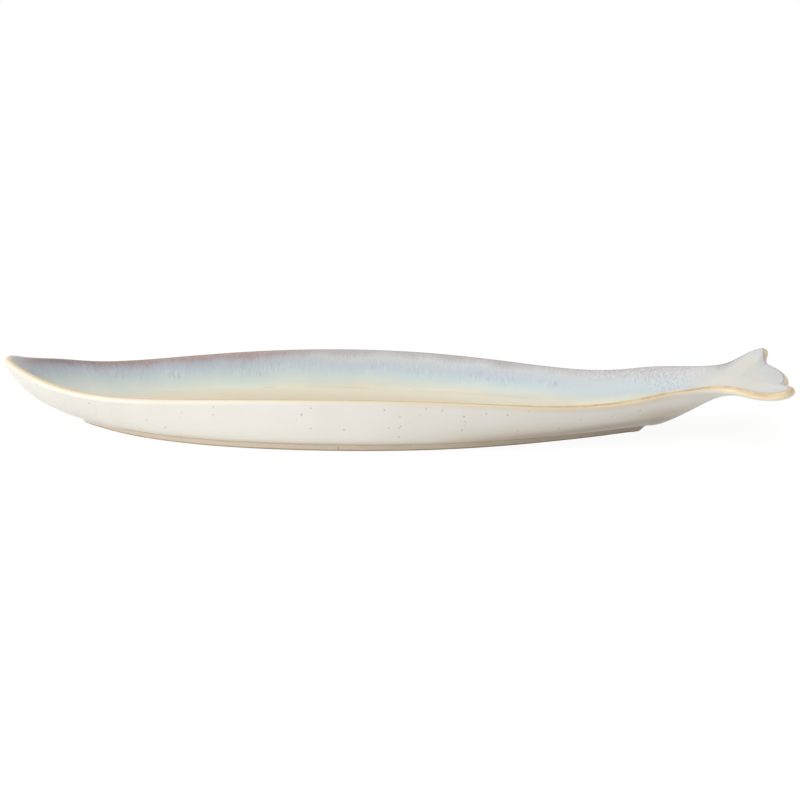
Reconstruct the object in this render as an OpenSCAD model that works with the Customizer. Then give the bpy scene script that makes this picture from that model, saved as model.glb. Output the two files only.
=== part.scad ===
// A shallow fish shaped serving platter in glazed stoneware.
// It stands on a raised foot ring, its nose and tail lift clear of the table,
// and the dish between them has a flat floor with steep sides.
// The origin is under the middle of the platter, on the table.
// The nose points to -X, the tail to +X, and +Z is up.

/* [Overall] */
// Length from the nose to the end of the tail
length = 603; // [540:1:660]
// Width across the rim at the belly
width = 212; // [180:1:240]
// Height of the nose above the table
height = 51; // [44:0.5:60]

/* [Tail] */
// Width across the two lobes of the tail
tail_width = 182; // [150:1:210]
// Length of the tail, from the neck to its end
tail_length = 57; // [46:1:66]

/* [Clay] */
// Thickness of the fired clay
wall = 5.5; // [4.5:0.1:7]
// Width of the narrow flat under the neck and the tail
keel_strip = 5; // [3:0.5:8]

/* [Foot ring] */
// Height of the foot ring
foot_height = 6.1; // [4.5:0.1:8]
// Width of the bare edge that the platter stands on
foot_land = 5; // [3.5:0.1:7]
// How far the outside of the foot ring leans in
foot_draft = 3.4; // [2:0.1:4.5]
// How far the inside of the foot ring leans out
foot_inner_draft = 1.6; // [0.8:0.1:2.4]
// Size of the softened corners of the foot ring
foot_softening = 0.8; // [0.4:0.1:1.2]
// How far the nose reaches past the foot ring
nose_overhang = 58; // [50:1:64]
// How far the tail reaches past the foot ring
tail_overhang = 105; // [96:1:112]
// How far the rim reaches past the foot ring at the belly
side_overhang = 15.5; // [13:0.5:20]

/* [Glaze] */
// Thickness of the glaze in the dish
dish_glaze = 0.6; // [0.3:0.05:0.9]
// Thickness of the glaze on the outside and the base
outside_glaze = 0.4; // [0.2:0.05:0.7]
// Thickness of both glazes at the rim, where they thin out
rim_glaze = 0.3; // [0.15:0.05:0.5]
// Bare gap between the glaze and the foot ring
glaze_gap = 0.3; // [0.2:0.05:0.6]

/* [Hidden] */

// Rows round half of the rim, rings up the side, and steps over the lip
rows = 58;
rings = 7;
lip_steps = 6;
// Points round half of the foot ring
foot_points = 44;

nose_x = -length/2;
tail_x = length/2;
body_length = length - tail_length;
floor_z = foot_height + wall/2;

// Each row of the dish runs from its middle line out to the rim.
// The shares give where it starts and ends along the body, how wide and how high
// its rim is, where its side turns up, from the foot (0) to the rim (1), and how far
// that corner is lifted off the floor.
body_shares = [
    [0.160, 0.0055, 0.000, 0.935, 0.70, 0.20],
    [0.160, 0.0055, 0.075, 0.930, 0.70, 0.20],
    [0.165, 0.025, 0.180, 0.840, 0.65, 0.20],
    [0.170, 0.065, 0.405, 0.755, 0.47, 0.04],
    [0.185, 0.112, 0.535, 0.650, 0.34, 0.01],
    [0.215, 0.178, 0.715, 0.630, 0.34, 0.00],
    [0.270, 0.260, 0.860, 0.675, 0.40, 0.00],
    [0.360, 0.360, 0.945, 0.735, 0.46, 0.00],
    [0.470, 0.470, 0.980, 0.760, 0.47, 0.00],
    [0.580, 0.580, 0.940, 0.750, 0.48, 0.00],
    [0.680, 0.680, 0.855, 0.690, 0.50, 0.00],
    [0.770, 0.770, 0.750, 0.615, 0.53, 0.00],
    [0.825, 0.825, 0.645, 0.605, 0.46, 0.00],
    [0.875, 0.875, 0.575, 0.645, 0.38, 0.00],
    [0.910, 0.910, 0.530, 0.715, 0.30, 0.00],
    [0.930, 0.930, 0.485, 0.750, 0.30, 0.00],
    [0.955, 0.955, 0.450, 0.770, 0.50, 0.00],
    [0.975, 0.975, 0.395, 0.790, 0.60, 0.00],
    [0.998, 1.000, 0.370, 0.810, 0.53, 0.00]
];

// The same for the tail, with places along it counted back from its end
tail_shares = [
    [0.865, 0.780, 0.470, 0.820, 0.56, 0.00],
    [0.740, 0.545, 0.735, 0.820, 0.47, 0.00],
    [0.660, 0.290, 0.960, 0.900, 0.47, 0.00],
    [0.615, 0.095, 0.905, 0.980, 0.47, 0.00],
    [0.575, 0.215, 0.665, 0.925, 0.47, 0.00],
    [0.555, 0.225, 0.470, 0.850, 0.47, 0.00],
    [0.555, 0.115, 0.355, 0.840, 0.47, 0.00],
    [0.555, 0.0535, 0.110, 0.835, 0.47, 0.00],
    [0.555, 0.0535, 0.000, 0.835, 0.47, 0.00]
];

// Outline of the foot ring: places along it and half widths,
// then how far each point moves in when the outline is drawn in by one
foot_shares = [
    [0.000, 0.000, 1.00, 0.00],
    [0.000, 0.050, 1.00, -0.15],
    [0.025, 0.190, 0.85, -0.60],
    [0.080, 0.470, 0.65, -0.76],
    [0.160, 0.725, 0.40, -0.92],
    [0.280, 0.940, 0.18, -0.98],
    [0.447, 1.016, 0.00, -1.00],
    [0.612, 0.940, -0.16, -0.99],
    [0.738, 0.740, -0.36, -0.93],
    [0.828, 0.520, -0.50, -0.87],
    [0.918, 0.280, -0.90, -0.76],
    [0.975, 0.085, -1.70, -0.36],
    [1.000, 0.026, -1.95, -0.08],
    [1.000, 0.000, -1.95, 0.00]
];

// Where the middle line leaves the flat floor and where it has risen to the tail
foot_tip_x = tail_x - tail_overhang;
foot_nose_x = nose_x + nose_overhang;
foot_half_width = width/2 - side_overhang;
tail_level_share = 0.82;
keel_end_share = 0.62;
keel_end_x = tail_x - keel_end_share*tail_length;

// A smooth curve that passes close to the rows of a list, from t = 0 to 1
function padded(list) =
    let (last = len(list) - 1)
    concat([2*list[0] - list[1]], list, [2*list[last] - list[last - 1]]);
function blend4(a, b, c, d, f) =
    (pow(1 - f, 3)*a + (3*pow(f, 3) - 6*f*f + 4)*b
    + (3*f + 3*f*f - 3*pow(f, 3) + 1)*c + pow(f, 3)*d)/6;
function on_padded(list, s, i) = blend4(list[i], list[i + 1], list[i + 2], list[i + 3], s - i);
function on_curve(list, t) =
    let (long = padded(list), spans = len(long) - 3)
    on_padded(long, t*spans, min(floor(t*spans), spans - 1));

function smooth(t) = let (s = max(0, min(1, t))) s*s*(3 - 2*s);
// The middle line's rise past the foot ring: it starts in a short bend, goes up evenly and ends level
keel_bend_share = 0.16;
function ramp(t) = t < keel_bend_share ? pow(max(0, t), 2)/(2*keel_bend_share) : t - keel_bend_share/2;
function keel_rise(t) = t < 1 ? (ramp(t)/ramp(1) + smooth(t))/2 : 1;
function unit(v) = v/norm(v);
function cross_plan(a, b) = a[0]*b[1] - a[1]*b[0];
function mirror_y(p) = [p[0], -p[1], p[2]];

// Half of the foot ring's outline on its top face, drawn in by a distance
function foot_line(drawn_in) = [
    for (i = [0:foot_points])
        let (s = on_curve(foot_shares, i/foot_points))
        [foot_nose_x + s[0]*(foot_tip_x - foot_nose_x) + s[2]*drawn_in,
            i == 0 || i == foot_points ? 0 : s[1]*foot_half_width + s[3]*drawn_in]
];
foot_edge = foot_line(0);

// How far out along a row, from its middle line, the foot ring's outline lies
function foot_reach(start, way) = max(concat([0], [
    for (i = [0:foot_points - 1])
        let (side = foot_edge[i + 1] - foot_edge[i], turn = cross_plan(way, side), gap = foot_edge[i] - start)
        if (turn != 0)
            let (along = cross_plan(gap, side)/turn, place = cross_plan(gap, way)/turn)
            if (along > 0 && place > -0.0001 && place < 1.0001) along
]));

// The stations in real sizes: middle line x, rim x, rim y, rim z, corner share, lift share
stations = concat(
    [for (s = body_shares)
        [nose_x + s[0]*body_length, nose_x + s[1]*body_length, s[2]*width/2, s[3]*height, s[4], s[5]]],
    [for (s = tail_shares)
        [tail_x - s[0]*tail_length, tail_x - s[1]*tail_length, s[2]*tail_width/2, s[3]*height, s[4], s[5]]]
);

// One row: the four corners of the curve that its middle surface follows
function row_frame(i) =
    let (
        s = on_curve(stations, i/rows),
        rise = keel_rise((s[0] - foot_tip_x)/(keel_end_x - foot_tip_x)),
        start_z = floor_z + rise*(tail_level_share*height - floor_z),
        start = [s[0], 0],
        way = [s[1] - s[0], i == 0 || i == rows ? 0 : s[2]],
        reach = foot_reach(start, way)*norm(way) + glaze_gap,
        foot = start + unit(way)*max(reach, keel_strip/2),
        rim = start + way,
        corner = foot + (rim - foot)*s[4],
        corner_z = start_z + (s[3] - start_z)*s[5]
    )
    [[foot[0], foot[1], start_z], [corner[0], corner[1], corner_z], [rim[0], rim[1], s[3]], s[0]];
half_rows = [for (i = [0:rows]) row_frame(i)];

// The rows go round the whole rim: out along one side and back along the other
around = 2*rows;
function row(i) = let (j = (i + around) % around)
    j <= rows ? half_rows[j] : [for (k = [0:2]) mirror_y(half_rows[around - j][k])];
function middle(i, t) = let (r = row(i)) pow(1 - t, 2)*r[0] + 2*t*(1 - t)*r[1] + t*t*r[2];
function outward(i, t) = let (r = row(i)) (1 - t)*(r[1] - r[0]) + t*(r[2] - r[1]);
function along_rim(i, t) = middle(i + 1, t) - middle(i - 1, t);
// Going round from the nose along +Y, out along a row crossed with the way round points down
function up(i, t) = unit(cross(along_rim(i, t), outward(i, t)));
function out_of_rim(i) = unit(cross(up(i, 1), along_rim(i, 1)));

// Loops of points round the platter, at a distance above or below its middle surface
function side_loop(t, distance) = [for (i = [0:around - 1]) middle(i, t) + up(i, t)*distance];
function lip_loop(angle, distance) = [
    for (i = [0:around - 1])
        middle(i, 1) + distance*(up(i, 1)*cos(angle) + out_of_rim(i)*sin(angle))
];

half_wall = wall/2;
function glaze_at(t, full) = rim_glaze + (full - rim_glaze)*smooth(2*(1 - t));

// Loops up the dish, or down the outside, each with or without its glaze
function dish_loops(full) = concat(
    [for (k = [0:rings]) side_loop(k/rings, half_wall + (full == 0 ? 0 : glaze_at(k/rings, full)))],
    [for (k = [1:lip_steps/2]) lip_loop(180*k/lip_steps, half_wall + (full == 0 ? 0 : rim_glaze))]
);
function outside_loops(full) = concat(
    [for (k = [0:rings]) side_loop(k/rings, -half_wall - (full == 0 ? 0 : glaze_at(k/rings, full)))],
    [for (k = [1:lip_steps/2])
        lip_loop(180 - 180*k/lip_steps, half_wall + (full == 0 ? 0 : rim_glaze))]
);

function joined(lists) = [for (l = lists) each l];
function turned(faces, flip) = flip ? [for (f = faces) [f[2], f[1], f[0]]] : faces;

// Triangles between two loops, and across the middle strip from one row on
function band(a, b) = [
    for (i = [0:around - 1])
        let (n = (i + 1) % around)
        each [[a + i, a + n, b + n], [a + i, b + n, b + i]]
];
function strip(a, first) = [
    for (i = [first:rows - 1])
        let (j = around - i, last = i == rows - 1)
        each concat(
            i == 0 ? [[a, a + around - 1, a + 1]] : [],
            i > 0 && !last ? [[a + i, a + j, a + j - 1], [a + i, a + j - 1, a + i + 1]] : [],
            last ? [[a + i, a + j, a + rows]] : []
        )
];
function bands(first, count) = [for (k = [0:count - 1]) each band(first + k*around, first + (k + 1)*around)];

// A coat of glaze: the face on the clay, the free face, and the edges between them
module coat(clay_loops, free_loops, first, flip) {
    count = len(clay_loops) - 1;
    free = len(clay_loops)*around;
    rim_wall = [
        for (i = [0:around - 1])
            let (n = (i + 1) % around, a = count*around, b = free + count*around)
            each [[a + n, a + i, b + i], [a + n, b + i, b + n]]
    ];
    hole_wall = [
        for (i = [0:around - 1])
            let (n = (i + 1) % around)
            if (first > 0 && (i < first || i >= around - first))
                each [[i, n, free + n], [i, free + n, free + i]]
    ];
    other = around - first;
    cross_wall = first > 0 ? [[first, other, free + other], [first, free + other, free + first]] : [];
    faces = concat(
        turned(concat(bands(0, count), strip(0, first)), true),
        concat(bands(free, count), strip(free, first)),
        rim_wall, hole_wall, cross_wall
    );
    polyhedron(points = joined(concat(clay_loops, free_loops)), faces = turned(faces, flip), convexity = 6);
}

// The first row whose middle line lies past the tip of the foot ring
past_foot = [for (i = [0:rows]) if (half_rows[i][3] > foot_tip_x + glaze_gap) i][0];

module clay_body() {
    inside = dish_loops(0);
    whole_outside = outside_loops(0);
    // The loop on top of the rim belongs to both, so the outside leaves it out
    outside = [for (k = [0:len(whole_outside) - 2]) whole_outside[k]];
    rim = (len(inside) - 1)*around;
    under = len(inside)*around;
    under_rim = under + (len(outside) - 1)*around;
    faces = concat(
        turned(concat(bands(0, len(inside) - 1), strip(0, 0)), true),
        bands(under, len(outside) - 1), strip(under, 0), band(under_rim, rim)
    );
    color([0.82, 0.76, 0.66])
        polyhedron(points = joined(concat(inside, outside)), faces = faces, convexity = 6);
}

module dish_glaze_coat() {
    color([0.80, 0.83, 0.82]) coat(dish_loops(0), dish_loops(dish_glaze), 0, true);
}

module outside_glaze_coat() {
    color([0.93, 0.91, 0.87]) coat(outside_loops(0), outside_loops(outside_glaze), past_foot, false);
}

// The whole outline of the foot ring, drawn in by a distance, at one height
function foot_loop(drawn_in, z) =
    let (half = foot_line(drawn_in))
    concat([for (p = half) [p[0], p[1], z]],
        [for (i = [foot_points - 1:-1:1]) [half[i][0], -half[i][1], z]]);

foot_thickness = foot_draft + foot_land + foot_inner_draft;

module foot_ring() {
    count = 2*foot_points;
    lean = foot_draft*(1 - foot_softening/foot_height);
    loops = [
        foot_loop(0, foot_height),
        foot_loop(lean, foot_softening),
        foot_loop(foot_draft + foot_softening, 0),
        foot_loop(foot_draft + foot_land - foot_softening, 0),
        foot_loop(foot_draft + foot_land, foot_softening),
        foot_loop(foot_thickness, foot_height)
    ];
    faces = [
        for (k = [0:len(loops) - 1], i = [0:count - 1])
            let (a = k*count, b = ((k + 1) % len(loops))*count, n = (i + 1) % count)
            each [[a + i, b + n, a + n], [a + i, b + i, b + n]]
    ];
    color([0.76, 0.69, 0.58]) polyhedron(points = joined(loops), faces = faces, convexity = 6);
}

module base_glaze_coat() {
    outline = [for (p = foot_loop(foot_thickness + glaze_gap, 0)) [p[0], p[1]]];
    color([0.90, 0.88, 0.82]) translate([0, 0, foot_height - outside_glaze])
        linear_extrude(height = outside_glaze) polygon(outline);
}

clay_body();
foot_ring();
dish_glaze_coat();
outside_glaze_coat();
base_glaze_coat();
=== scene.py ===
import logging
import math
from collections.abc import Callable, Iterator
from contextlib import contextmanager
from dataclasses import dataclass, field
from enum import Enum

import bpy
import numpy as np
from mathutils import Matrix, Vector


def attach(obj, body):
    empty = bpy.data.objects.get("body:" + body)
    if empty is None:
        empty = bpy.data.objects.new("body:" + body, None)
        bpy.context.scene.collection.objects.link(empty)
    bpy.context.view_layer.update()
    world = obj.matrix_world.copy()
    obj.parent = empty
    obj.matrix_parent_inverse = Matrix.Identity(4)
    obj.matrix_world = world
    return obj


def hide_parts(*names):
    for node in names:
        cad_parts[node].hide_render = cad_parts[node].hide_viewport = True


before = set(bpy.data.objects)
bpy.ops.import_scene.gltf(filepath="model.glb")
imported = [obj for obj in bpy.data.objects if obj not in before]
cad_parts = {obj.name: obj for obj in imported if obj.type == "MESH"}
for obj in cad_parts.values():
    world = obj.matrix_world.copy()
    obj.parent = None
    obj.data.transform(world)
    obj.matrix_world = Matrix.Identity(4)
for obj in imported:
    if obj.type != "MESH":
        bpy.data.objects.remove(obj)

log = logging.getLogger("platter")

MM = 0.001
WELD = 0.0001 * MM
CREASE = math.radians(50)
GRID = 2
GROUP = "glaze"
BODY = "root"

Piece = bpy.types.Object
Points = np.ndarray
Triple = tuple[float, float, float]
Span = tuple[float, float]
Stops = tuple[tuple[float, int, int, int], ...]
Number = "Value | float"
Flow = tuple["Value", "Value", "Value"]
Coats = list[tuple["Value | Triple", Number]]


def tone(red: int, green: int, blue: int) -> Triple:
    """Turns a screen colour, 0 to 255, into the linear one that shaders use."""
    shares = [channel / 255 for channel in (red, green, blue)]
    return tuple(s / 12.92 if s < 0.04045 else ((s + 0.055) / 1.055) ** 2.4 for s in shares)


def grey(level: float) -> Triple:
    """Returns a grey of a level from 0 to 1."""
    return (level, level, level)


def smooth(share: Points) -> Points:
    """Returns an S shaped step from 0 to 1."""
    s = np.clip(share, 0, 1)
    return s * s * (3 - 2 * s)


def unit(vectors: Points) -> Points:
    """Returns the vectors at length one."""
    return vectors / np.linalg.norm(vectors, axis=-1, keepdims=True)


def spline(table: Points, shares: Points) -> Points:
    """Follows a smooth curve that passes close to the rows of a table.

    Args:
        table: The control rows.
        shares: Places along the curve, 0 to 1.

    Returns:
        One row for each place.
    """
    rows = np.vstack([2 * table[:1] - table[1:2], table, 2 * table[-1:] - table[-2:-1]])
    spans = len(rows) - 3
    place = np.clip(shares, 0, 1) * spans
    first = np.minimum(place.astype(int), spans - 1)
    f = (place - first)[:, None]
    return (
        (1 - f) ** 3 * rows[first]
        + (3 * f**3 - 6 * f**2 + 4) * rows[first + 1]
        + (1 + 3 * f + 3 * f**2 - 3 * f**3) * rows[first + 2]
        + f**3 * rows[first + 3]
    ) / 6


def cross_plan(a: Points, b: Points) -> Points:
    """Returns the cross product of vectors in the plan."""
    return a[..., 0] * b[..., 1] - a[..., 1] * b[..., 0]


class Face(Enum):
    """The two faces of the clay that a coat of glaze can lie on."""

    DISH = 1
    OUTSIDE = -1


@dataclass(frozen=True)
class PlatterForm:
    """The clay form: rows that run from the middle line out to the rim.

    The shares of a row are its start and end along the body, its half width, the
    height of its rim, where its side turns up, from the foot (0) to the rim (1), and
    how far that corner is lifted off the floor.
    """

    length: float = 603 * MM
    width: float = 212 * MM
    height: float = 51 * MM
    tail_width: float = 182 * MM
    tail_length: float = 57 * MM
    wall: float = 5.5 * MM
    keel_strip: float = 5 * MM
    foot_height: float = 6.1 * MM
    nose_overhang: float = 58 * MM
    tail_overhang: float = 105 * MM
    side_overhang: float = 15.5 * MM
    glaze_gap: float = 0.3 * MM
    tail_level_share: float = 0.82
    keel_end_share: float = 0.62
    keel_bend_share: float = 0.16
    rows: int = 290
    foot_points: int = 176
    body_shares: tuple = (
        (0.160, 0.0055, 0.000, 0.935, 0.70, 0.20),
        (0.160, 0.0055, 0.075, 0.930, 0.70, 0.20),
        (0.165, 0.025, 0.180, 0.840, 0.65, 0.20),
        (0.170, 0.065, 0.405, 0.755, 0.47, 0.04),
        (0.185, 0.112, 0.535, 0.650, 0.34, 0.01),
        (0.215, 0.178, 0.715, 0.630, 0.34, 0.00),
        (0.270, 0.260, 0.860, 0.675, 0.40, 0.00),
        (0.360, 0.360, 0.945, 0.735, 0.46, 0.00),
        (0.470, 0.470, 0.980, 0.760, 0.47, 0.00),
        (0.580, 0.580, 0.940, 0.750, 0.48, 0.00),
        (0.680, 0.680, 0.855, 0.690, 0.50, 0.00),
        (0.770, 0.770, 0.750, 0.615, 0.53, 0.00),
        (0.825, 0.825, 0.645, 0.605, 0.46, 0.00),
        (0.875, 0.875, 0.575, 0.645, 0.38, 0.00),
        (0.910, 0.910, 0.530, 0.715, 0.30, 0.00),
        (0.930, 0.930, 0.485, 0.750, 0.30, 0.00),
        (0.955, 0.955, 0.450, 0.770, 0.50, 0.00),
        (0.975, 0.975, 0.395, 0.790, 0.60, 0.00),
        (0.998, 1.000, 0.370, 0.810, 0.53, 0.00),
    )
    tail_shares: tuple = (
        (0.865, 0.780, 0.470, 0.820, 0.56, 0.00),
        (0.740, 0.545, 0.735, 0.820, 0.47, 0.00),
        (0.660, 0.290, 0.960, 0.900, 0.47, 0.00),
        (0.615, 0.095, 0.905, 0.980, 0.47, 0.00),
        (0.575, 0.215, 0.665, 0.925, 0.47, 0.00),
        (0.555, 0.225, 0.470, 0.850, 0.47, 0.00),
        (0.555, 0.115, 0.355, 0.840, 0.47, 0.00),
        (0.555, 0.0535, 0.110, 0.835, 0.47, 0.00),
        (0.555, 0.0535, 0.000, 0.835, 0.47, 0.00),
    )
    foot_shares: tuple = (
        (0.000, 0.000, 1.00, 0.00),
        (0.000, 0.050, 1.00, -0.15),
        (0.025, 0.190, 0.85, -0.60),
        (0.080, 0.470, 0.65, -0.76),
        (0.160, 0.725, 0.40, -0.92),
        (0.280, 0.940, 0.18, -0.98),
        (0.447, 1.016, 0.00, -1.00),
        (0.612, 0.940, -0.16, -0.99),
        (0.738, 0.740, -0.36, -0.93),
        (0.828, 0.520, -0.50, -0.87),
        (0.918, 0.280, -0.90, -0.76),
        (0.975, 0.085, -1.70, -0.36),
        (1.000, 0.026, -1.95, -0.08),
        (1.000, 0.000, -1.95, 0.00),
    )

    @property
    def foot_tip_x(self) -> float:
        """Where the foot ring ends under the tail."""
        return self.length / 2 - self.tail_overhang

    @property
    def half_wall(self) -> float:
        """Half the thickness of the clay."""
        return self.wall / 2

    def stations(self) -> Points:
        """Scales both tables.

        Returns:
            Their rows, in real sizes.
        """
        body_length = self.length - self.tail_length
        scale = np.array([body_length, body_length, self.width / 2, self.height, 1, 1])
        shift = np.array([-self.length / 2, -self.length / 2, 0, 0, 0, 0])
        body = np.array(self.body_shares) * scale + shift
        scale[:3] = -self.tail_length, -self.tail_length, self.tail_width / 2
        tail = np.array(self.tail_shares) * scale - shift
        return np.vstack([body, tail])

    def foot_line(self, drawn_in: float) -> Points:
        """Finds half of the foot ring's outline.

        Args:
            drawn_in: How far the outline is drawn in.

        Returns:
            Points in the plan, from the nose end to the tail end.
        """
        s = spline(np.array(self.foot_shares), np.linspace(0, 1, self.foot_points + 1))
        nose = -self.length / 2 + self.nose_overhang
        x = nose + s[:, 0] * (self.foot_tip_x - nose) + s[:, 2] * drawn_in
        y = s[:, 1] * (self.width / 2 - self.side_overhang) + s[:, 3] * drawn_in
        y[[0, -1]] = 0
        return np.stack([x, y], -1)

    def foot_reach(self, start: Points, way: Points) -> Points:
        """Finds how far out along each row the foot ring's outline lies.

        Args:
            start: The rows' starts in the plan.
            way: From each start to the rim.

        Returns:
            A share of each row's way.
        """
        edge = self.foot_line(0)
        side = (edge[1:] - edge[:-1])[None]
        gap = edge[None, :-1] - start[:, None]
        turn = cross_plan(way[:, None], side)
        parallel, slack = 1e-15, 0.0001
        turn = np.where(abs(turn) < parallel, np.nan, turn)
        along = cross_plan(gap, side) / turn
        place = cross_plan(gap, way[:, None]) / turn
        hit = (along > 0) & (place > -slack) & (place < 1 + slack)
        return np.where(hit, along, 0).max(1)

    def keel_rise(self, share: Points) -> Points:
        """Finds the rise of the middle line past the foot ring.

        Args:
            share: How far along its way each point is.

        Returns:
            The rises, 0 to 1.
        """
        bend = self.keel_bend_share

        def ramp(t: Points) -> Points:
            """Returns an even rise that starts in a short bend."""
            return np.where(t < bend, np.maximum(0, t) ** 2 / (2 * bend), t - bend / 2)

        rise = (ramp(share) / ramp(np.array(1.0)) + smooth(share)) / 2
        return np.where(share < 1, rise, 1)

    def frames(self) -> tuple[Points, Points, Points]:
        """Finds the rows of one half, with one more row at each end for slopes.

        Returns:
            The foot, corner and rim points of the rows.
        """
        s = spline(self.stations(), np.linspace(0, 1, self.rows + 1))
        s[[0, -1], 2] = 0
        floor_z = self.foot_height + self.half_wall
        keel_end = self.length / 2 - self.keel_end_share * self.tail_length
        rise = self.keel_rise((s[:, 0] - self.foot_tip_x) / (keel_end - self.foot_tip_x))
        start_z = floor_z + rise * (self.tail_level_share * self.height - floor_z)
        start = np.stack([s[:, 0], 0 * s[:, 0]], -1)
        way = np.stack([s[:, 1] - s[:, 0], s[:, 2]], -1)
        size = np.linalg.norm(way, axis=-1)
        reach = self.foot_reach(start, way) * size + self.glaze_gap
        foot = start + way / size[:, None] * np.maximum(reach, self.keel_strip / 2)[:, None]
        rim = start + way
        corner = foot + (rim - foot) * s[:, 4:5]
        level, top = start_z[:, None], s[:, 3:4]
        lifted = level + s[:, 5:6] * (top - level)
        parts = (np.hstack([foot, level]), np.hstack([corner, lifted]), np.hstack([rim, top]))
        turn = np.array([1, -1, 1])
        return tuple(np.vstack([p[1:2] * turn, p, p[-2:-1] * turn]) for p in parts)

    def slopes(self, t: float) -> tuple[Points, Points, Points]:
        """Finds the middle surface at one place up the side.

        Args:
            t: From the foot (0) to the rim (1).

        Returns:
            Points, the ways up out of the surface, and the ways round the rim.
        """
        foot, corner, rim = self.frames()
        middle = (1 - t) ** 2 * foot + 2 * t * (1 - t) * corner + t * t * rim
        outward = ((1 - t) * (corner - foot) + t * (rim - corner))[1:-1]
        along = middle[2:] - middle[:-2]
        return middle[1:-1], unit(np.cross(along, outward)), along

    def side(self, t: float, distance: Points | float) -> Points:
        """Returns a line of points along the side, off the middle surface."""
        middle, up, _ = self.slopes(t)
        return self.on_plane(middle + up * np.reshape(distance, (-1, 1)))

    def lip(self, angle: float, distance: float) -> Points:
        """Finds a line of points round the lip.

        Args:
            angle: The place round the lip, in degrees; its crest is at 90.
            distance: How far off the middle of the wall.

        Returns:
            The points.
        """
        middle, up, along = self.slopes(1)
        out = unit(np.cross(up, along))
        turn = math.radians(angle)
        return self.on_plane(middle + distance * (up * math.cos(turn) + out * math.sin(turn)))

    @staticmethod
    def on_plane(points: Points) -> Points:
        """Puts the first and last row exactly on the platter's middle plane."""
        points[[0, -1], 1] = 0
        return points


def both_sides(lines: list[Points], turn: tuple[int, int, int] = (1, -1, 1)) -> Points:
    """Joins the lines of one half, middle out, to both; turn multiplies the near half's numbers."""
    half = np.stack(lines, 1)
    return np.concatenate([half[:, :0:-1] * np.array(turn), half], 1)


def floor_lines(edge: Points, count: int) -> list[Points]:
    """Returns straight lines across from the middle plane to a line, without the line."""
    return [edge * np.array([1, k / count, 1]) for k in range(count)]


def run_from_crest(lines: list[Points]) -> list[Points]:
    """Finds how far each line lies from the last one, over the surface.

    Args:
        lines: Lines of points, from the middle plane out.

    Returns:
        The distances, for each line.
    """
    runs = [np.zeros(len(lines[0]))]
    for k in range(len(lines) - 1, 0, -1):
        runs.append(runs[-1] + np.linalg.norm(lines[k] - lines[k - 1], axis=-1))
    return runs[::-1]


def vectors(items: bpy.types.bpy_prop_collection, name: str) -> Points:
    """Reads three numbers from each item of a mesh.

    Args:
        items: The vertices, or the items of an attribute.
        name: What is read.

    Returns:
        Three numbers for each item.
    """
    flat = np.empty(len(items) * 3)
    items.foreach_get(name, flat)
    return flat.reshape(-1, 3)


def pick(piece: Piece) -> None:
    """Selects one piece and makes it the active one.

    Args:
        piece: The piece.
    """
    bpy.ops.object.select_all(action="DESELECT")
    piece.select_set(True)
    bpy.context.view_layer.objects.active = piece


@contextmanager
def editing(piece: Piece, action: str = "SELECT") -> Iterator[None]:
    """Opens a piece in edit mode, for a with block.

    Args:
        piece: The piece.
        action: Whether its mesh is selected.

    Returns:
        Nothing, once, while the piece is open.
    """
    pick(piece)
    bpy.ops.object.mode_set(mode="EDIT")
    bpy.ops.mesh.select_all(action=action)
    yield
    bpy.ops.object.mode_set(mode="OBJECT")


def sheet(name: str, points: Points, notes: dict | None = None, weights: Points | None = None) -> Piece:
    """Adds a grid and lays its points on a surface.

    Args:
        name: The piece's name.
        points: Rows by places across, three numbers each.
        notes: Attributes by name, each laid out as the points are.
        weights: The glaze group's weights, by row and place across.

    Returns:
        The new piece.
    """
    rows, places = points.shape[:2]
    bpy.ops.object.select_all(action="DESELECT")
    bpy.ops.mesh.primitive_grid_add(x_subdivisions=rows - 1, y_subdivisions=places - 1, size=GRID)
    piece = bpy.context.object
    mesh = piece.data
    piece.name = mesh.name = name
    shares = vectors(mesh.vertices, "co")[:, :2] / GRID + 0.5
    i, j = np.rint(shares * (rows - 1, places - 1)).astype(int).T
    mesh.vertices.foreach_set("co", points[i, j].ravel())
    for note, values in (notes or {}).items():
        data = mesh.attributes.new(note, "FLOAT_VECTOR", "POINT").data
        data.foreach_set("vector", values[i, j].astype(np.float32).ravel())
    if weights is not None:
        group = piece.vertex_groups.new(name=GROUP)
        for index, weight in enumerate(weights[i, j]):
            group.add([index], float(weight), "REPLACE")
    mesh.update()
    return piece


def weld(piece: Piece) -> None:
    """Merges the doubled points of a closed grid and turns its faces out.

    Args:
        piece: The piece.
    """
    with editing(piece):
        bpy.ops.mesh.remove_doubles(threshold=WELD)
        bpy.ops.mesh.normals_make_consistent(inside=False)


def cut_away(piece: Piece, picked: Points) -> None:
    """Deletes the faces that are picked, by number.

    Args:
        piece: The piece.
        picked: True for each face that goes.
    """
    with editing(piece, "DESELECT"):
        bpy.ops.mesh.select_mode(type="FACE")
    piece.data.polygons.foreach_set("select", picked)
    bpy.ops.object.mode_set(mode="EDIT")
    bpy.ops.mesh.delete(type="FACE")
    bpy.ops.object.mode_set(mode="OBJECT")


def thicken(piece: Piece, thickness: float, turned: bool) -> None:
    """Gives a coat's sheet its thickness, towards the clay, and applies it.

    Args:
        piece: The piece.
        thickness: The thickness where the glaze group's weight is one.
        turned: Whether the sheet lies below the clay, so that its faces turn over.
    """
    with editing(piece):
        bpy.ops.mesh.remove_doubles(threshold=WELD)
        if turned:
            bpy.ops.mesh.flip_normals()
    solid = piece.modifiers.new("Thickness", "SOLIDIFY")
    solid.thickness = thickness
    solid.offset = -1
    solid.vertex_group = GROUP
    bpy.ops.object.modifier_apply(modifier=solid.name)


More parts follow.
